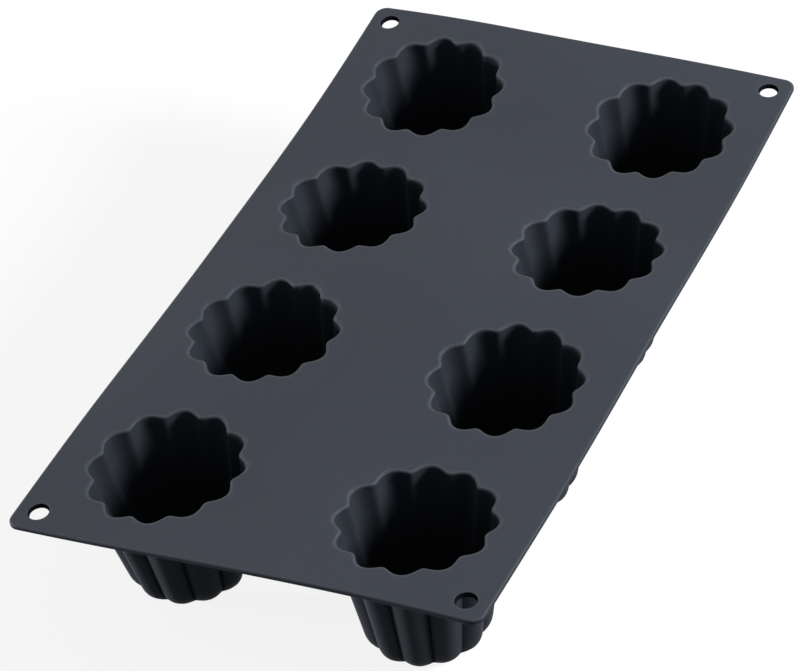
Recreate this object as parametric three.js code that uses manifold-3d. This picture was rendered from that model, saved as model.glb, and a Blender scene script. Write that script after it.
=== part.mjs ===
// Silicone canele mould: a thin flexible deck with fluted, tapering cups hanging from it in a grid.
// Millimetres, +Z up. X runs across the deck and Y along it. The cups stand on z = 0, and the
// origin lies there, under the middle of the deck.
import * as THREE from "three";
import { mergeVertices } from "three/addons/utils/BufferGeometryUtils.js";
import Module from "manifold-3d";

// The deck, a flat sheet with rounded corners.
const DECK_LENGTH = 300;
const DECK_WIDTH = 175;
const DECK_THICKNESS = 1.8;
const DECK_CORNER_RADIUS = 5;
const DECK_EDGE_ROUND = 0.4;

// A hole near each corner, to hang the mould up by.
const HANG_HOLE_DIAMETER = 7.5;
const HANG_HOLE_INSET = 8.5;

// The grid of cups, and the land left between the outer mouths and the deck's edges.
const CUPS_ACROSS = 2;
const CUPS_ALONG = 4;
const LAND_AT_SIDES = 13.25;
const LAND_AT_ENDS = 12.25;

// One cup. Its diameters are the inside ones, across the crests of the flutes.
const CUP_DEPTH = 46.5;
const MOUTH_DIAMETER = 55;
const FLOOR_DIAMETER = 39;
const WALL_THICKNESS = 1.8;
const FLOOR_THICKNESS = 2;
const MOUTH_ROUND = 0.9;
const FLOOR_ROUND = 4.5;
const FOOT_ROUND = 7;

// The shallow dome in the middle of a cup's floor, which dishes the crown of the cake.
const DIMPLE_DIAMETER = 20;
const DIMPLE_HEIGHT = 1.2;

// The flutes: round lobes that bulge outwards, with a narrower ridge between each two.
const FLUTES = 12;
const FLUTE_DEPTH_AT_MOUTH = 2.8;
const FLUTE_DEPTH_AT_FLOOR = 1.5;
const RIDGE_SOFTNESS = 0.35;

// How finely the curves are cut into facets.
const FACETS_PER_FLUTE = 6;
const FACETS_PER_FOOT_ROUND = 2;
const FACETS_PER_FLOOR_ROUND = 1;
const FACETS_PER_MOUTH_ROUND = 1;
const FACETS_PER_ARC = 16;

// How far a cutter reaches past the faces that it cuts through.
const OVERCUT = 1;

// Heights and pitches that follow from the sizes above.
const DECK_TOP = FLOOR_THICKNESS + CUP_DEPTH;
const DECK_UNDERSIDE = DECK_TOP - DECK_THICKNESS;
const PITCH_ACROSS = (DECK_WIDTH - MOUTH_DIAMETER - 2 * LAND_AT_SIDES) / (CUPS_ACROSS - 1);
const PITCH_ALONG = (DECK_LENGTH - MOUTH_DIAMETER - 2 * LAND_AT_ENDS) / (CUPS_ALONG - 1);

const wasm = await Module();
wasm.setup();

function solidFrom(geometry) {
  const bare = geometry.index ? geometry.toNonIndexed() : geometry.clone();
  bare.deleteAttribute("normal");
  bare.deleteAttribute("uv");
  const merged = mergeVertices(bare);
  return new wasm.Manifold(
    new wasm.Mesh({
      numProp: 3,
      vertProperties: merged.getAttribute("position").array,
      triVerts: new Uint32Array(merged.index.array),
    }),
  );
}

function geometryFrom(solid) {
  const mesh = solid.getMesh();
  const geometry = new THREE.BufferGeometry();
  geometry.setAttribute("position", new THREE.BufferAttribute(mesh.vertProperties, 3));
  geometry.setIndex(new THREE.BufferAttribute(mesh.triVerts, 1));
  geometry.computeVertexNormals();
  return geometry;
}

// Share of the way from the ridge, 0, to the crest of the flute, 1, at an angle round the cup.
// A ridge lies on the X axis, and the crests lie half a flute further on.
function fluteShare(angle) {
  const wave = Math.sin((angle * FLUTES) / 2);
  const softened = Math.hypot(wave, RIDGE_SOFTNESS) - RIDGE_SOFTNESS;
  return softened / (Math.hypot(1, RIDGE_SOFTNESS) - RIDGE_SOFTNESS);
}

// Share of the way from the inner floor, 0, to the deck's top face, 1.
const riseShare = (z) => (z - FLOOR_THICKNESS) / CUP_DEPTH;

const fluteDepth = (z) =>
  THREE.MathUtils.lerp(FLUTE_DEPTH_AT_FLOOR, FLUTE_DEPTH_AT_MOUTH, riseShare(z));

const innerRadius = (z) =>
  THREE.MathUtils.lerp(FLOOR_DIAMETER, MOUTH_DIAMETER, riseShare(z)) / 2;

const outerRadius = (z) => innerRadius(z) + WALL_THICKNESS;

// A point of a cup's wall at a height, on the crest of a flute.
const innerCrest = (z) => new THREE.Vector2(innerRadius(z), z);
const outerCrest = (z) => new THREE.Vector2(outerRadius(z), z);

// A rounded corner between two straight stretches, as points from the first stretch to the second.
function rounded(before, corner, after, reach, facets) {
  const start = corner.clone().lerp(before, reach / corner.distanceTo(before));
  const end = corner.clone().lerp(after, reach / corner.distanceTo(after));
  return new THREE.QuadraticBezierCurve(start, corner, end).getPoints(facets);
}

// Turns a profile about Z and draws it in between the crests, so that its wall is fluted. The
// profile is the one at a crest, and the flutes fade towards the axis.
function flutedRevolve(profile, wallRadius) {
  const geometry = new THREE.LatheGeometry(profile, FLUTES * FACETS_PER_FLUTE);
  geometry.rotateX(Math.PI / 2);
  const position = geometry.getAttribute("position");
  for (let i = 0; i < position.count; i += 1) {
    const x = position.getX(i);
    const y = position.getY(i);
    const z = position.getZ(i);
    const drawnIn = fluteDepth(z) * (1 - fluteShare(Math.atan2(y, x)));
    const scale = 1 - drawnIn / wallRadius(z);
    position.setXY(i, x * scale, y * scale);
  }
  geometry.computeVertexNormals();
  return geometry;
}

// A cup hangs from the deck's underside: a fluted wall that tapers to a rounded foot, and a floor
// with a shallow dome.
function cupGeometry() {
  const axisUnder = new THREE.Vector2(0, DIMPLE_HEIGHT);
  const axisOver = new THREE.Vector2(0, FLOOR_THICKNESS + DIMPLE_HEIGHT);
  const domeUnder = new THREE.Vector2(DIMPLE_DIAMETER / 2, 0);
  const domeOver = new THREE.Vector2(DIMPLE_DIAMETER / 2, FLOOR_THICKNESS);
  const outerRim = outerCrest(DECK_UNDERSIDE);
  const innerRim = innerCrest(DECK_UNDERSIDE);
  const outside = [
    axisUnder,
    domeUnder,
    ...rounded(domeUnder, outerCrest(0), outerRim, FOOT_ROUND, FACETS_PER_FOOT_ROUND),
    outerRim,
  ];
  const floorCorner = innerCrest(FLOOR_THICKNESS);
  const inside = [
    innerRim,
    ...rounded(innerRim, floorCorner, domeOver, FLOOR_ROUND, FACETS_PER_FLOOR_ROUND),
    domeOver,
    axisOver,
  ];
  return flutedRevolve([...outside, ...inside], outerRadius);
}

// What is cut out of the deck over a cup: the cup's own inside, opened out at the top by the
// mouth's rounded edge.
function mouthCutter() {
  const bottom = DECK_UNDERSIDE - OVERCUT;
  const top = DECK_TOP + OVERCUT;
  const rim = innerCrest(DECK_UNDERSIDE);
  const corner = innerCrest(DECK_TOP);
  const lip = new THREE.Vector2(corner.x + MOUTH_ROUND, DECK_TOP);
  const profile = [
    new THREE.Vector2(0, bottom),
    innerCrest(bottom),
    rim,
    ...rounded(rim, corner, lip, MOUTH_ROUND, FACETS_PER_MOUTH_ROUND),
    new THREE.Vector2(lip.x, top),
    new THREE.Vector2(0, top),
  ];
  return flutedRevolve(profile, innerRadius);
}

// Calls place(x, y, column, row) for each cup, from the left front corner of the grid.
function eachCup(place) {
  for (let column = 0; column < CUPS_ACROSS; column += 1) {
    for (let row = 0; row < CUPS_ALONG; row += 1) {
      const x = (column - (CUPS_ACROSS - 1) / 2) * PITCH_ACROSS;
      const y = (row - (CUPS_ALONG - 1) / 2) * PITCH_ALONG;
      place(x, y, column, row);
    }
  }
}

function roundedRectangle(width, length, radius) {
  const x = width / 2 - radius;
  const y = length / 2 - radius;
  const quarter = Math.PI / 2;
  const shape = new THREE.Shape();
  shape.absarc(x, -y, radius, -quarter, 0, false);
  shape.absarc(x, y, radius, 0, quarter, false);
  shape.absarc(-x, y, radius, quarter, 2 * quarter, false);
  shape.absarc(-x, -y, radius, 2 * quarter, 3 * quarter, false);
  shape.closePath();
  return shape;
}

function deckGeometry() {
  const outline = roundedRectangle(DECK_WIDTH, DECK_LENGTH, DECK_CORNER_RADIUS);
  for (const side of [-1, 1]) {
    for (const end of [-1, 1]) {
      const x = side * (DECK_WIDTH / 2 - HANG_HOLE_INSET);
      const y = end * (DECK_LENGTH / 2 - HANG_HOLE_INSET);
      const hole = new THREE.Path();
      hole.absarc(x, y, HANG_HOLE_DIAMETER / 2, 0, 2 * Math.PI, true);
      outline.holes.push(hole);
    }
  }
  const sheet = new THREE.ExtrudeGeometry(outline, {
    depth: DECK_THICKNESS - 2 * DECK_EDGE_ROUND,
    bevelThickness: DECK_EDGE_ROUND,
    bevelSize: DECK_EDGE_ROUND,
    bevelOffset: -DECK_EDGE_ROUND,
    bevelSegments: 1,
    curveSegments: FACETS_PER_ARC / 2,
  });
  sheet.translate(0, 0, DECK_UNDERSIDE + DECK_EDGE_ROUND);
  let deck = solidFrom(sheet);
  const cutter = solidFrom(mouthCutter());
  eachCup((x, y) => {
    deck = deck.subtract(cutter.translate([x, y, 0]));
  });
  return geometryFrom(deck);
}

// Black silicone, matt. The deck catches the light, and the cups are a shade darker.
const silicone = (color) => new THREE.MeshStandardMaterial({ color, roughness: 0.6, metalness: 0 });

const mould = new THREE.Group();

const deck = new THREE.Mesh(deckGeometry(), silicone(0x33373d));
deck.name = "deck";
mould.add(deck);

eachCup((x, y, column, row) => {
  const cup = new THREE.Mesh(cupGeometry(), silicone(0x1c1e21));
  cup.name = `cup_${column + 1}_${row + 1}`;
  cup.position.set(x, y, 0);
  mould.add(cup);
});

export default mould;
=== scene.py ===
import math

import bpy
import numpy as np
from mathutils import Matrix, Vector
from mathutils.geometry import delaunay_2d_cdt


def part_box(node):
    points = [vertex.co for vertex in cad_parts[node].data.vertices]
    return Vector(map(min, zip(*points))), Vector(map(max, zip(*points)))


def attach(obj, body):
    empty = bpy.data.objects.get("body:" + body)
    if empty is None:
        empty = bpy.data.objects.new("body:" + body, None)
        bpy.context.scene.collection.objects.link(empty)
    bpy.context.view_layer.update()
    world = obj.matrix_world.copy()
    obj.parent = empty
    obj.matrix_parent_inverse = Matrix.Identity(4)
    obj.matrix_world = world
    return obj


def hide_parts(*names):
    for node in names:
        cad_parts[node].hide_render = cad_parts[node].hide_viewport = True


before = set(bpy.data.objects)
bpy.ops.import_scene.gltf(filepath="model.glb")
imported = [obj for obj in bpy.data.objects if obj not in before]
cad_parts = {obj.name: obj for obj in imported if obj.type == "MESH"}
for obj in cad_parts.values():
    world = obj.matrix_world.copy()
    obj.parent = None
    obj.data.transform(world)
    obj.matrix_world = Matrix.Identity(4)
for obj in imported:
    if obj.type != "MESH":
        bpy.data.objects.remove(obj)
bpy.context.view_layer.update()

# A silicone canele mould: a thin deck that has relaxed a little, and the fluted cups under it.
# Lengths are in metres, as they are in the frame.
MM = 0.001

# Places that the frame gives: the deck's faces and edges, and the cups.
deck_low, deck_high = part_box("deck")
HALF_WIDTH = deck_high[0]
HALF_LENGTH = deck_high[1]
DECK_TOP = deck_high[2]
DECK_UNDERSIDE = deck_low[2]
DECK_THICKNESS = DECK_TOP - DECK_UNDERSIDE
CUP_NODES = sorted(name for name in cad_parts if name.startswith("cup_"))


def middle_of(node):
    """The middle of a node, seen from above."""
    low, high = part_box(node)
    return np.array([(low[0] + high[0]) / 2, (low[1] + high[1]) / 2])


# The rows of cups, from the front. Rounding makes the two columns' rows the same.
CUP_MIDDLES = {node: middle_of(node) for node in CUP_NODES}
PLACE_DIGITS = 6
ROWS = np.unique(np.round([middle[1] for middle in CUP_MIDDLES.values()], PLACE_DIGITS))
ROW_PITCH = ROWS[1] - ROWS[0]

# The deck's corners and edges. How far an edge is painted pale, as a share: partly wear, partly a
# # painted highlight.
CORNER_RADIUS = 4.4 * MM
EDGE_ROUND_TOP = 0.7 * MM
EDGE_ROUND_UNDER = 0.45 * MM
EDGE_WEAR_AND_HIGHLIGHT = 0.3
LIP_BAND = 0.6 * MM

# The hanging holes, which get narrower downwards by the draft.
HANG_HOLE_RADIUS = 3.75 * MM
HANG_HOLE_INSET = 8.5 * MM
HOLE_ROUND = 0.25 * MM
HOLE_DRAFT = 0.45 * MM
# How pale a hole's lip is painted: partly wear, partly a painted highlight.
HOLE_WEAR_AND_HIGHLIGHT = 0.6
HANG_HOLES = [
    np.array([side * (HALF_WIDTH - HANG_HOLE_INSET), end * (HALF_LENGTH - HANG_HOLE_INSET)])
    for side in (-1, 1)
    for end in (-1, 1)
]

# One cup. The radii are the inside ones, on the crest of a flute.
MOUTH_RADIUS = 27.5 * MM
FLOOR_RADIUS = 19.5 * MM
WALL_THICKNESS = 1.8 * MM
FLOOR_THICKNESS = 2 * MM
MOUTH_ROUND = 1.0 * MM
FLOOR_ROUND = 6 * MM
FOOT_ROUND = 7.5 * MM
ROOT_FILLET = 1.6 * MM
DIMPLE_RADIUS = 10 * MM
DIMPLE_HEIGHT = 1.2 * MM

# The flutes: broad lobes that bulge outwards, with a ridge between each two on the inside and a
# sharper groove on the outside. Near its valley, and above a height, a groove gets painted shade.
FLUTES = 12
FLUTE_DEPTH_AT_MOUTH = 2.8 * MM
FLUTE_DEPTH_AT_FLOOR = 1.5 * MM
RIDGE_SOFTNESS = 0.32
GROOVE_SOFTNESS = 0.10
GROOVE_SHADE = 0.15
GROOVE_START = 1.5 * MM

# How the thin sheet has relaxed. Each edge has a rise at its middle, a tilt from end to end and an
# extra rise of both its ends, which all start at a distance from the middle of the deck.
CURL_LEFT = dict(middle=-1.9 * MM, tilt=-2.2 * MM, ends=1.7 * MM)
CURL_RIGHT = dict(middle=0.0, tilt=-0.2 * MM, ends=-1.2 * MM)
CURL_FRONT = dict(middle=1.1 * MM, tilt=1.5 * MM, ends=-2.2 * MM)
CURL_BACK = dict(middle=0.4 * MM, tilt=0.0, ends=0.8 * MM)
CURL_START_ACROSS = 30 * MM
CURL_START_ALONG = 80 * MM

# The lands between the rows of cups, from the front, have a rise and a tilt from left to right.
# They fade towards the long edges, as a power of the way there.
FOLDS = (
    dict(middle=-0.8 * MM, tilt=-2.8 * MM),
    dict(middle=0.2 * MM, tilt=0.6 * MM),
    dict(middle=-3.4 * MM, tilt=0.0),
)
FOLD_FADE = 0.8
FOLD_FADE_POWER = 4

# The whole deck is lifted, tilted, twisted, bowed and skewed a little.
LIFT = 1.1 * MM
TILT_ACROSS = 0.5 * MM
TILT_ALONG = 0.9 * MM
TWIST = -2.5 * MM
BOW = -1.9 * MM
SKEW = -1.1 * MM

# How far the cups' feet have swung in under the deck: the left column's and the right column's
# feet at the middle of the deck, how much more the right ones at its back, and how far forwards
# the right ones at its front.
LEAN_LEFT = 2.4 * MM
LEAN_RIGHT = -1.45 * MM
LEAN_RIGHT_BACK = -0.8 * MM
LEAN_FORWARD = 2.6 * MM

# How finely the surfaces are divided.
STEPS_PER_FLUTE = 16
STEPS_PER_HOLE = 48
STEPS_PER_ROUND = 8
STEPS_PER_WALL = 12
SHEET_GRID = 3.2 * MM
SHEET_MARGIN = 1.7 * MM
SHARP_ANGLE = math.radians(40)

# What delaunay_2d_cdt is asked for: triangles out to the hull, and the distance at which it takes
# two points for one.
TRIANGLES_TO_HULL = 0
NEARNESS = 1e-9

# The angles of points round a cup, a hanging hole and a rounded corner.
CUP_TURN = np.linspace(0, 2 * math.pi, FLUTES * STEPS_PER_FLUTE, endpoint=False)
HOLE_TURN = np.linspace(0, 2 * math.pi, STEPS_PER_HOLE, endpoint=False)
CORNER_TURN = np.linspace(0, math.pi / 2, STEPS_PER_ROUND + 1)

# The corners of a rectangle, anticlockwise, as shares of its half sides.
CORNERS = ((1, -1), (1, 1), (-1, 1), (-1, -1))


def lerp(start, end, share):
    return start + (end - start) * share


def half_wave(share):
    """Smoothly from 1 at a share of 0 to 0 at a share of 1."""
    return 0.5 + 0.5 * np.cos(math.pi * share)


def height_share(z):
    """From the inner floor of a cup, 0, to the deck's top face, 1."""
    return (z - FLOOR_THICKNESS) / (DECK_TOP - FLOOR_THICKNESS)


def inside_share(z):
    """From the deck's top face, 0, to the table, 1."""
    return 1 - z / DECK_TOP


def inner_radius(z):
    return lerp(FLOOR_RADIUS, MOUTH_RADIUS, height_share(z))


def outer_radius(z):
    return inner_radius(z) + WALL_THICKNESS


def flute_depth(z):
    return lerp(FLUTE_DEPTH_AT_FLOOR, FLUTE_DEPTH_AT_MOUTH, height_share(z))


def flute_share(angle, softness):
    """From the ridge between two flutes, 0, to the crest of a flute, 1."""
    wave = np.sin(angle * FLUTES / 2)
    full = math.hypot(1, softness) - softness
    return (np.hypot(wave, softness) - softness) / full


def fluted(radius, z, angle, wall_radius, softness=RIDGE_SOFTNESS):
    """A radius given on the crest, drawn in between the crests. The flutes fade to the axis."""
    return radius * (1 - flute_depth(z) / wall_radius(z) * (1 - flute_share(angle, softness)))


def arc(middle, radius, turn):
    """Points round a middle, seen from above."""
    return middle + np.column_stack([radius * np.cos(turn), radius * np.sin(turn)])


def fluted_ring(middle, radius, z, wall_radius, softness=RIDGE_SOFTNESS):
    """Points round a cup at a height, for a radius given on the crest."""
    return arc(middle, fluted(radius, z, CUP_TURN, wall_radius, softness), CUP_TURN)


def edge_rise(distance, edge, start, along, middle, tilt, ends):
    """What one edge's curl adds at a distance from the middle of the deck."""
    share = np.clip((distance - start) / (edge - start), 0, None)
    return (middle + tilt * along + ends * along**2) * share**2


def fold_rise(y, across, row, middle, tilt):
    """What the fold behind a row of cups adds."""
    land = row + ROW_PITCH / 2
    near = half_wave(np.clip(np.abs(y - land) / ROW_PITCH, 0, 1))
    return (middle + tilt * across) * near * (1 - FOLD_FADE * across**FOLD_FADE_POWER)


def sheet_rise(x, y):
    """How far the relaxed sheet lies above the flat one."""
    across = x / HALF_WIDTH
    along = y / HALF_LENGTH
    rise = LIFT + TILT_ACROSS * across + TILT_ALONG * along + TWIST * across * along
    rise += edge_rise(-x, HALF_WIDTH, CURL_START_ACROSS, along, **CURL_LEFT)
    rise += edge_rise(x, HALF_WIDTH, CURL_START_ACROSS, along, **CURL_RIGHT)
    rise += edge_rise(-y, HALF_LENGTH, CURL_START_ALONG, across, **CURL_FRONT)
    rise += edge_rise(y, HALF_LENGTH, CURL_START_ALONG, across, **CURL_BACK)
    for row, fold in zip(ROWS, FOLDS):
        rise += fold_rise(y, across, row, **fold)
    return rise


def relaxed(points):
    """Moves points with the sheet. The cups' feet stay on the table, and their mouths follow.
    The bow is counted from its mean along the deck, where the square of the share is a third."""
    moved = points.copy()
    x, y, z = points.T
    along = y / HALF_LENGTH
    moved[:, 2] += sheet_rise(x, y) * z / DECK_UNDERSIDE
    hang = np.clip(1 - z / DECK_UNDERSIDE, 0, None)
    moved[:, 0] += np.where(x < 0, LEAN_LEFT, LEAN_RIGHT + LEAN_RIGHT_BACK * along) * hang
    moved[:, 1] += np.where(x < 0, 0, LEAN_FORWARD * np.clip(along, None, 0)) * hang
    moved[:, 0] += BOW * (along**2 - 1 / 3) + SKEW * x / HALF_WIDTH * along
    return moved


# Profiles, as rows of a radius or an inset and a height

def bend(before, corner, after, reach):
    """A rounded corner between two straight stretches."""
    before, corner, after = (np.array(point, float) for point in (before, corner, after))
    start = corner + (before - corner) * reach / np.linalg.norm(before - corner)
    end = corner + (after - corner) * reach / np.linalg.norm(after - corner)
    t = np.linspace(0, 1, STEPS_PER_ROUND + 1)[:, None]
    return (1 - t) ** 2 * start + 2 * t * (1 - t) * corner + t**2 * end


def straight(start, end, steps):
    """Points between two ends, without the ends."""
    t = np.linspace(0, 1, steps + 1)[1:-1, None]
    return np.array(start) + (np.array(end) - np.array(start)) * t


def dome(z):
    """The shallow dome in a cup's floor, from its rim to next to the axis."""
    share = np.linspace(1, 0, STEPS_PER_ROUND + 1)[:-1]
    return np.column_stack([DIMPLE_RADIUS * share, z + DIMPLE_HEIGHT * half_wave(share)])


def cup_outside():
    """A cup from next to the axis, along the foot and up the wall to the deck."""
    ring = (DIMPLE_RADIUS, 0)
    corner = (outer_radius(0), 0)
    below_fillet = DECK_UNDERSIDE - ROOT_FILLET
    top = (outer_radius(below_fillet), below_fillet)
    foot = bend(ring, corner, top, FOOT_ROUND)
    wall = straight(foot[-1], top, STEPS_PER_WALL)
    height = below_fillet + ROOT_FILLET * np.sin(CORNER_TURN)
    flare = ROOT_FILLET * (1 - np.cos(CORNER_TURN))
    fillet = np.column_stack([outer_radius(height) + flare, height])
    return np.concatenate([dome(0)[::-1], foot, wall, fillet])


def cup_inside():
    """A cup from the deck, down the wall and along the floor to next to the axis."""
    rim = (inner_radius(DECK_UNDERSIDE), DECK_UNDERSIDE)
    corner = (inner_radius(FLOOR_THICKNESS), FLOOR_THICKNESS)
    ring = (DIMPLE_RADIUS, FLOOR_THICKNESS)
    floor = bend(rim, corner, ring, FLOOR_ROUND)
    wall = straight(rim, floor[0], STEPS_PER_WALL)
    return np.concatenate([[rim], wall, floor, dome(FLOOR_THICKNESS)])


def edge_section(round_top, round_under, wear_and_highlight, shade):
    """An edge of the deck from the top face to the underside. After the inset and the height, a row
    says how pale the edge is from rubbing and a painted highlight, how low its sheen is as finish
    and as a shaded copy, and how much painted shade it has there."""
    sin, cos = np.sin(CORNER_TURN), np.cos(CORNER_TURN)
    none, full = np.zeros_like(CORNER_TURN), np.ones_like(CORNER_TURN)
    flat = [(round_top + LIP_BAND, DECK_TOP, 0, 0, 0)]
    top_inset = round_top * (1 - sin)
    top_height = DECK_TOP - round_top * (1 - cos)
    top = np.column_stack([top_inset, top_height, wear_and_highlight * cos, sin**2, shade * sin**2])
    under_inset = round_under * (1 - cos)
    under_height = DECK_UNDERSIDE + round_under * (1 - sin)
    under = np.column_stack([under_inset, under_height, none, full, shade * cos])
    return np.concatenate([flat, top, under])


def bore_section():
    """The edge of a hanging hole, with its radius in place of the inset. Its wall gets painted
    shade.
    """
    section = edge_section(HOLE_ROUND, HOLE_ROUND, HOLE_WEAR_AND_HIGHLIGHT, 1)
    down = DECK_TOP - section[:, 1]
    section[:, 0] += HANG_HOLE_RADIUS - HOLE_DRAFT * down / DECK_THICKNESS
    return section


def mouth_section():
    """The edge of a mouth, with its radius on a crest in place of the inset. Its lip is pale,
    partly from rubbing and partly as a painted highlight.
    """
    rim = (inner_radius(DECK_UNDERSIDE), DECK_UNDERSIDE)
    corner = (inner_radius(DECK_TOP), DECK_TOP)
    flat = (corner[0] + MOUTH_ROUND + LIP_BAND, DECK_TOP)
    sin, cos = np.sin(CORNER_TURN), np.cos(CORNER_TURN)
    none = np.zeros_like(CORNER_TURN)
    lip = np.column_stack([bend(flat, corner, rim, MOUTH_ROUND), cos, sin**2, none])
    return np.concatenate([[(*flat, 0, 0, 0)], lip, [(*rim, 0, 1, 0)]])


# Meshes

class Skin:
    """A surface under construction: its points, its faces, and marks on its points. A mark says,
    from
    0 to 1, how far inside a cup a point lies, how pale it is from rubbing and a painted highlight,
    how low its sheen is as finish and as a shaded copy, and how much painted shade it has."""

    KINDS = ("inside", "worn", "dull", "shaded")

    def __init__(self):
        self.points = []
        self.faces = []
        self.marks = {kind: [] for kind in self.KINDS}

    def add(self, places, z, **marks):
        """Adds points at one height with their marks, and returns their indices."""
        start = sum(len(points) for points in self.points)
        count = len(places)
        self.points.append(np.column_stack([places, np.full(count, z)]))
        for kind in self.KINDS:
            self.marks[kind].append(np.full(count, marks.get(kind, 0), np.float32))
        return np.arange(start, start + count)

    def join(self, rings):
        """Adds the faces from each ring of points to the next."""
        for ring, onward in zip(rings, rings[1:]):
            corners = [ring, np.roll(ring, -1), np.roll(onward, -1), onward]
            self.faces += np.column_stack(corners).tolist()

    def close(self, ring, tip):
        """Adds the faces from a ring of points to a single point."""
        corners = [np.full(len(ring), tip), ring, np.roll(ring, -1)]
        self.faces += np.column_stack(corners).tolist()


def make_piece(name, skin, finish, node):
    """A relaxed mesh with its marks as attributes, standing for a node of the frame."""
    mesh = bpy.data.meshes.new(name)
    mesh.from_pydata(relaxed(np.concatenate(skin.points)).tolist(), [], skin.faces)
    for kind, values in skin.marks.items():
        attribute = mesh.attributes.new(kind, "FLOAT", "POINT")
        attribute.data.foreach_set("value", np.concatenate(values))
    mesh.shade_smooth()
    mesh.set_sharp_from_angle(angle=SHARP_ANGLE)
    mesh.materials.append(finish)
    piece = bpy.data.objects.new(name, mesh)
    bpy.context.scene.collection.objects.link(piece)
    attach(piece, "root")
    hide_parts(node)


def make_cup(node, finish):
    """A cup, which is open at the top, where its outside and its inside meet the deck."""
    middle = CUP_MIDDLES[node]
    skin = Skin()
    # Painted shade in the valleys of the outer grooves, from GROOVE_START up.
    painted_valley_shade = np.exp(-flute_share(CUP_TURN, GROOVE_SOFTNESS) / GROOVE_SHADE)
    rings = []
    for radius, z in cup_outside():
        places = fluted_ring(middle, radius, z, outer_radius, GROOVE_SOFTNESS)
        shaded = painted_valley_shade if z >= GROOVE_START else 0
        rings.append(skin.add(places, z, dull=1, shaded=shaded))
    for radius, z in cup_inside():
        places = fluted_ring(middle, radius, z, outer_radius)
        rings.append(skin.add(places, z, dull=1, inside=inside_share(z)))
    dome_top = FLOOR_THICKNESS + DIMPLE_HEIGHT
    under = skin.add([middle], DIMPLE_HEIGHT, dull=1)
    over = skin.add([middle], dome_top, dull=1, inside=inside_share(dome_top))
    skin.join(rings)
    skin.close(rings[0][::-1], under)
    skin.close(rings[-1], over)
    make_piece(node.replace("cup_", "fluted_cup_"), skin, finish, node)


# The deck

def outline(inset):
    """The deck's rounded rectangle, drawn in by an inset, anticlockwise."""
    half = np.array([HALF_WIDTH, HALF_LENGTH]) - inset
    radius = CORNER_RADIUS - inset
    corners = []
    for k, corner in enumerate(CORNERS):
        turn = CORNER_TURN + (k - 1) * math.pi / 2
        corners.append(arc((half - radius) * corner, radius, turn))
    parts = []
    for k, corner in enumerate(corners):
        following = corners[(k + 1) % len(corners)]
        half_side = HALF_LENGTH if k % 2 == 0 else HALF_WIDTH
        steps = round(2 * half_side / SHEET_GRID)
        parts += [corner, straight(corner[-1], following[0], steps)]
    return np.concatenate(parts)


def clear_of_edges(points, border, hole, lip):
    """Each point's distance from the nearest edge of a flat face of the deck, positive on the face.
    The face starts at a border from the outer edges, at the holes' radius and at the lips'."""
    half = np.array([HALF_WIDTH, HALF_LENGTH]) - CORNER_RADIUS
    out = np.abs(points) - half
    past_corner = np.linalg.norm(np.clip(out, 0, None), axis=1) + np.clip(out.max(1), None, 0)
    clear = CORNER_RADIUS - border - past_corner
    for middle in CUP_MIDDLES.values():
        step = points - middle
        angle = np.arctan2(step[:, 1], step[:, 0])
        mouth = fluted(lip, DECK_TOP, angle, inner_radius)
        clear = np.minimum(clear, np.linalg.norm(step, axis=1) - mouth)
    for middle in HANG_HOLES:
        clear = np.minimum(clear, np.linalg.norm(points - middle, axis=1) - hole)
    return clear


def sheet_points(starts):
    """A regular grid of points over a flat face of the deck, in rows set half a step apart. The
    face starts at a border, a hole's radius and a lip's, as clear_of_edges takes them."""
    rows = np.arange(-HALF_LENGTH, HALF_LENGTH, SHEET_GRID * math.sqrt(3) / 2)
    columns = np.arange(-HALF_WIDTH, HALF_WIDTH, SHEET_GRID)
    grid = []
    for k, y in enumerate(rows):
        shift = (k % 2) * SHEET_GRID / 2
        grid.append(np.column_stack([columns + shift, np.full(len(columns), y)]))
    points = np.concatenate(grid)
    return points[clear_of_edges(points, *starts) > SHEET_MARGIN]


def fill_face(skin, rings, starts, under):
    """Fills the deck's top face or its underside with triangles between closed rings of points."""
    inner = sheet_points(starts)
    z = DECK_UNDERSIDE if under else DECK_TOP
    index = np.concatenate([*rings, skin.add(inner, z, dull=under)])
    places = np.concatenate(skin.points)[index, :2]
    edges = []
    start = 0
    for ring in rings:
        loop = np.arange(start, start + len(ring))
        edges += np.column_stack([loop, np.roll(loop, -1)]).tolist()
        start += len(ring)
    flat = [Vector(place) for place in places]
    _, _, triangles, origins, _, _ = delaunay_2d_cdt(
        flat, edges, [], TRIANGLES_TO_HULL, NEARNESS, True
    )
    triangles = np.array([[origins[i][0] for i in triangle] for triangle in triangles])
    triangles = triangles[clear_of_edges(places[triangles].mean(1), *starts) > 0]
    if under:
        triangles = triangles[:, ::-1]
    skin.faces += index[triangles].tolist()


def add_wall(skin, section, loops):
    """Adds an edge of the deck as rings of points, and returns its first and its last ring."""
    rings = []
    for places, (_, z, worn, dull, shaded) in zip(loops, section):
        rings.append(skin.add(places, z, worn=worn, dull=dull, shaded=shaded))
    skin.join(rings)
    return rings[0], rings[-1]


def make_deck(finish):
    """The sheet: the walls of its outer edge, holes and mouths, and the two faces between them."""
    skin = Skin()
    edge = edge_section(EDGE_ROUND_TOP, EDGE_ROUND_UNDER, EDGE_WEAR_AND_HIGHLIGHT, 0)
    bore = bore_section()
    lip = mouth_section()
    walls = [add_wall(skin, edge, [outline(inset) for inset in edge[:, 0]])]
    for middle in HANG_HOLES:
        loops = [arc(middle, radius, HOLE_TURN) for radius in bore[:, 0]]
        walls.append(add_wall(skin, bore, loops))
    for middle in CUP_MIDDLES.values():
        loops = [fluted_ring(middle, radius, z, inner_radius) for radius, z in lip[:, :2]]
        walls.append(add_wall(skin, lip, loops))
    tops, undersides = zip(*walls)
    fill_face(skin, tops, (edge[0, 0], bore[0, 0], lip[0, 0]), under=False)
    fill_face(skin, undersides, (edge[-1, 0], bore[-1, 0], lip[-1, 0]), under=True)
    make_piece("deck_sheet", skin, finish, "deck")


# Finishes

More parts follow.
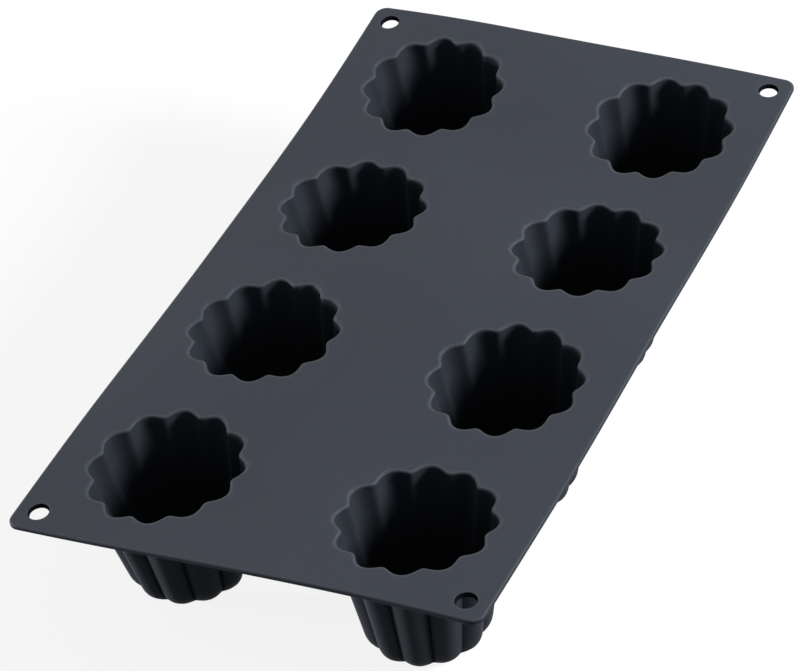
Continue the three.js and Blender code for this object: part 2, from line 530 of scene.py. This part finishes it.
class Signal:
    """A socket that carries a number over a surface, so that sums on it read as Python."""

    def __init__(self, surface, socket):
        self.surface = surface
        self.socket = socket

    def maths(self, operation, first, second):
        return self.surface.node("ShaderNodeMath", {0: first, 1: second}, operation=operation)

    def __add__(self, other):
        return self.maths("ADD", self, other)

    def __sub__(self, other):
        return self.maths("SUBTRACT", self, other)

    def __rsub__(self, other):
        return self.maths("SUBTRACT", other, self)

    def __mul__(self, other):
        return self.maths("MULTIPLY", self, other)

    __radd__ = __add__


class Surface:
    """A material or world under construction."""

    # The colour sockets of a Mix node, which share their names with its other sockets.
    MIX_FIRST = 6
    MIX_SECOND = 7
    MIX_RESULT = 2

    def __init__(self, owner):
        owner.use_nodes = True
        self.tree = owner.node_tree
        self.tree.nodes.clear()

    def node(self, kind, sockets=None, output=0, **settings):
        """Adds a node, sets it, sets or links its sockets, and returns one of its outputs."""
        made = self.tree.nodes.new(kind)
        for name, value in settings.items():
            setattr(made, name, value)
        for name, value in (sockets or {}).items():
            if isinstance(value, Signal):
                self.tree.links.new(value.socket, made.inputs[name])
            else:
                made.inputs[name].default_value = value
        return Signal(self, made.outputs[output]) if made.outputs else None

    def noise(self, place, size, detail, roughness, distortion):
        """Cloudy noise about NOISE_MIDDLE, with features of about the given size."""
        sockets = {
            "Vector": place,
            "Scale": 1 / size,
            "Detail": detail,
            "Roughness": roughness,
            "Distortion": distortion,
        }
        return self.node("ShaderNodeTexNoise", sockets, normalize=True)

    def between(self, value, low, high):
        """0 below low, 1 above high, and smooth between them."""
        sockets = {"Value": value, "From Min": low, "From Max": high}
        return self.node("ShaderNodeMapRange", sockets, interpolation_type="SMOOTHSTEP")

    def mix(self, share, first, second):
        """A colour between two others."""
        sockets = {"Factor": share, self.MIX_FIRST: first, self.MIX_SECOND: second}
        return self.node("ShaderNodeMix", sockets, self.MIX_RESULT, data_type="RGBA")

    def blend(self, share, first, second):
        """A shader between two others."""
        return self.node("ShaderNodeMixShader", {0: share, 1: first, 2: second})

    def mark(self, kind):
        """A mark of the skin."""
        return self.node("ShaderNodeAttribute", output="Fac", attribute_name=kind)


# The silicone's colours, and the level and tint of its sheen on the deck and on the cups. The cups'
# # far lower sheen is partly a matt finish and partly painted shade, a shaded copy of the silicone.
SILICONE_DARK = (0.0135, 0.0160, 0.0205, 1)
SILICONE_LIGHT = (0.0260, 0.0300, 0.0390, 1)
# The pale grey of dust specks, also used for the painted highlight on lips and edges.
DUST_AND_HIGHLIGHT_GREY = (0.085, 0.092, 0.104, 1)
# A near-black for the painted shade in grooves and bores.
PAINTED_SHADE_BLACK = (0.003, 0.003, 0.004, 1)
SILICONE_IOR = 1.43
SHEEN_TINT = (0.91, 0.99, 1.22, 1)
DECK_SHEEN = 0.60
CUP_SHEEN = 0.05

# What changes over the silicone. A speck of dust is where its noise lies in or above a range.
NOISE_MIDDLE = 0.5
CLOUDS = dict(size=42 * MM, detail=4, roughness=0.55, distortion=0)
SMEARS = dict(size=17 * MM, detail=3, roughness=0.5, distortion=1.2)
GRAIN = dict(size=0.55 * MM, detail=2, roughness=0.6, distortion=0)
DUST = dict(size=1.3 * MM, detail=1, roughness=0.5, distortion=0)
SPECK_RANGE = (0.74, 0.80)

# How much each of these lightens or darkens the silicone, as shares of the way to a colour. The
# # depth shade is painted shade, darker deeper in a cup; the lips' pale is partly wear and partly a
# # painted highlight; the cover is how far the painted shade of grooves and bores hides the
# silicone.
CLOUD_LIGHT = 0.75
SMEAR_LIGHT = 0.35
GRAIN_LIGHT = 0.25
OVERALL_SHADE = 0.2
PAINTED_DEPTH_SHADE = 0.9
WORN_AND_HIGHLIGHT_PALE = 0.30
DUST_LIGHT = 0.16
PAINTED_SHADE_COVER = 0.9

# The roughness of the deck, and what changes it.
ROUGHNESS = 0.68
SMEAR_ROUGHNESS = 0.10
GRAIN_ROUGHNESS = 0.08
WORN_POLISH = 0.06
CUP_POLISH = 0.10

# The relief, which the grain gives, and the smears with a share of its height.
BUMP_STRENGTH = 0.35
BUMP_DISTANCE = 0.05 * MM
SMEAR_RELIEF = 0.8


def black_silicone():
    """Moulded silicone: cloudy slate black with a fine grain and dust, satin on the deck, with a
    low-sheen copy on the cups that is partly painted shade. Painted shade also darkens grooves,
    bores and the cups' insides, and lips get a painted highlight.
    """
    finish = bpy.data.materials.new("black_silicone")
    surface = Surface(finish)
    place = surface.node("ShaderNodeTexCoord", output="Object")
    inside, worn, dull, shaded = (surface.mark(kind) for kind in Skin.KINDS)
    clouds = surface.noise(place, **CLOUDS)
    smears = surface.noise(place, **SMEARS)
    grain = surface.noise(place, **GRAIN)
    dust = surface.between(surface.noise(place, **DUST), *SPECK_RANGE)
    # Random tone from clouds, smears and grain, less painted shade that grows with depth in a cup.
    light = clouds * CLOUD_LIGHT + smears * SMEAR_LIGHT + grain * GRAIN_LIGHT
    light = light - OVERALL_SHADE - inside * PAINTED_DEPTH_SHADE
    # Paler lips and edges, partly wear and partly a painted highlight, and specks of dust outside
    # the cups.
    dust_and_highlight = worn * WORN_AND_HIGHLIGHT_PALE + dust * (1 - inside) * DUST_LIGHT
    colour = surface.mix(light, SILICONE_DARK, SILICONE_LIGHT)
    colour = surface.mix(dust_and_highlight, colour, DUST_AND_HIGHLIGHT_GREY)
    smear_change = (smears - NOISE_MIDDLE) * SMEAR_ROUGHNESS
    grain_change = (grain - NOISE_MIDDLE) * GRAIN_ROUGHNESS
    rough = ROUGHNESS + smear_change + grain_change - worn * WORN_POLISH
    relief = {
        "Strength": BUMP_STRENGTH,
        "Distance": BUMP_DISTANCE,
        "Height": grain + smears * SMEAR_RELIEF,
    }
    bump = surface.node("ShaderNodeBump", relief)

    def coat(roughness, sheen):
        sockets = {
            "Base Color": colour,
            "Roughness": roughness,
            "IOR": SILICONE_IOR,
            "Specular Tint": SHEEN_TINT,
            "Specular IOR Level": sheen,
            "Normal": bump,
        }
        return surface.node("ShaderNodeBsdfPrincipled", sockets)

    satin = coat(rough, DECK_SHEEN)
    # The cups' low-sheen copy is partly finish and partly painted shade.
    matt_shaded_copy = coat(rough - CUP_POLISH, CUP_SHEEN)
    # A near-black diffuse, mixed in where grooves and bores get painted shade.
    painted_black = surface.node("ShaderNodeBsdfDiffuse", {"Color": PAINTED_SHADE_BLACK})
    shader = surface.blend(shaded * PAINTED_SHADE_COVER, surface.blend(dull, satin, matt_shaded_copy), painted_black)
    surface.node("ShaderNodeOutputMaterial", {"Surface": shader})
    return finish


# The stage

WHITE = (1, 1, 1, 1)
ROOM_LIGHT = 0.25
FLOOR_SIZE = 8.0
FLOOR_DROP = 0.1 * MM
FLOOR_PAPER = (0.17, 0.17, 0.17, 1)
FLOOR_NEAR = (0.86, 0.86, 0.86, 1)

# Distances from the middle of the mould between which the floor turns white.
SHADOW_REACH = (0.22, 0.60)

# The lamps, with azimuths in degrees, lengths in metres and powers in watts.
RIGHT_LAMP = dict(azimuth=108, height=0.53, distance=1.2, radius=0.20, power=114)
LEFT_LAMP = dict(azimuth=-72, height=0.035, distance=1.2, radius=0.08, power=115)


def seen(surface):
    """1 for what the camera sees, directly, in a gloss or through glass."""
    kinds = ("Is Camera Ray", "Is Glossy Ray", "Is Transmission Ray")
    camera, glossy, through = (surface.node("ShaderNodeLightPath", output=kind) for kind in kinds)
    return surface.between(camera + glossy + through, 0.0, 1.0)


def make_floor():
    """White paper that takes a faint shadow near the mould, and is clear from below."""
    finish = bpy.data.materials.new("studio_floor")
    surface = Surface(finish)
    paper = surface.node("ShaderNodeBsdfDiffuse", {"Color": FLOOR_PAPER})
    place = surface.node("ShaderNodeTexCoord", output="Object")
    away = surface.node("ShaderNodeVectorMath", {0: place}, "Value", operation="LENGTH")
    colour = surface.mix(surface.between(away, *SHADOW_REACH), FLOOR_NEAR, WHITE)
    glow = surface.node("ShaderNodeEmission", {"Color": colour, "Strength": seen(surface)})
    both = surface.node("ShaderNodeAddShader", {0: paper, 1: glow})
    below = surface.node("ShaderNodeNewGeometry", output="Backfacing")
    clear = surface.node("ShaderNodeBsdfTransparent")
    surface.node("ShaderNodeOutputMaterial", {"Surface": surface.blend(below, both, clear)})
    half = FLOOR_SIZE / 2
    corners = [(side * half, end * half, -FLOOR_DROP) for side, end in CORNERS]
    mesh = bpy.data.meshes.new("studio_floor")
    mesh.from_pydata(corners, [], [range(len(corners))])
    mesh.materials.append(finish)
    floor = bpy.data.objects.new("studio_floor", mesh)
    bpy.context.scene.collection.objects.link(floor)


def make_room():
    """An even pale room, white where it is seen."""
    world = bpy.data.worlds.new("studio_room")
    surface = Surface(world)
    strength = ROOM_LIGHT + seen(surface) * (1 - ROOM_LIGHT)
    room = surface.node("ShaderNodeBackground", {"Color": WHITE, "Strength": strength})
    surface.node("ShaderNodeOutputWorld", {"Surface": room})
    bpy.context.scene.world = world


def make_lamp(name, azimuth, height, distance, radius, power):
    """A round soft lamp, at an azimuth counted as the camera's is and a height over the floor."""
    a = math.radians(azimuth)
    light = bpy.data.lights.new(name, "POINT")
    light.shadow_soft_size = radius
    light.energy = power
    lamp = bpy.data.objects.new(name, light)
    lamp.location = (math.sin(a) * distance, -math.cos(a) * distance, height)
    lamp.visible_camera = False
    bpy.context.scene.collection.objects.link(lamp)


# The camera, at the photograph's viewing angle. The aim is counted from the middle of the deck, in
# the picture's directions.
VIEW_AZIMUTH = math.radians(30.76)
VIEW_ELEVATION = math.radians(39.93)
VIEW_ROLL = math.radians(-9.38)
VIEW_DISTANCE = 1288 * MM
AIM_RIGHT = -9.03 * MM
AIM_UP = -16.43 * MM
FOCAL_LENGTH_PIXELS = 3630
FRAME_WIDTH_PIXELS = 800
SENSOR_WIDTH = 36


def make_camera():
    """The camera's own axes point right, up and back from what it looks at."""
    a, e = VIEW_AZIMUTH, VIEW_ELEVATION
    back = Vector((math.sin(a) * math.cos(e), -math.cos(a) * math.cos(e), math.sin(e)))
    level = Vector((math.cos(a), math.sin(a), 0))
    upright = back.cross(level)
    right = level * math.cos(VIEW_ROLL) + upright * math.sin(VIEW_ROLL)
    up = upright * math.cos(VIEW_ROLL) - level * math.sin(VIEW_ROLL)
    aim = Vector((0, 0, DECK_TOP)) + right * AIM_RIGHT + up * AIM_UP
    data = bpy.data.cameras.new("camera")
    data.sensor_width = SENSOR_WIDTH
    data.lens = FOCAL_LENGTH_PIXELS / FRAME_WIDTH_PIXELS * SENSOR_WIDTH
    camera = bpy.data.objects.new("camera", data)
    turn = Matrix((right, up, back)).transposed().to_4x4()
    camera.matrix_world = Matrix.Translation(aim + back * VIEW_DISTANCE) @ turn
    bpy.context.scene.collection.objects.link(camera)
    bpy.context.scene.camera = camera


make_camera()
silicone = black_silicone()
make_deck(silicone)
for cup_node in CUP_NODES:
    make_cup(cup_node, silicone)
make_floor()
make_room()
make_lamp("right_lamp", **RIGHT_LAMP)
make_lamp("left_lamp", **LEFT_LAMP)
bpy.context.scene.view_settings.view_transform = "Standard"
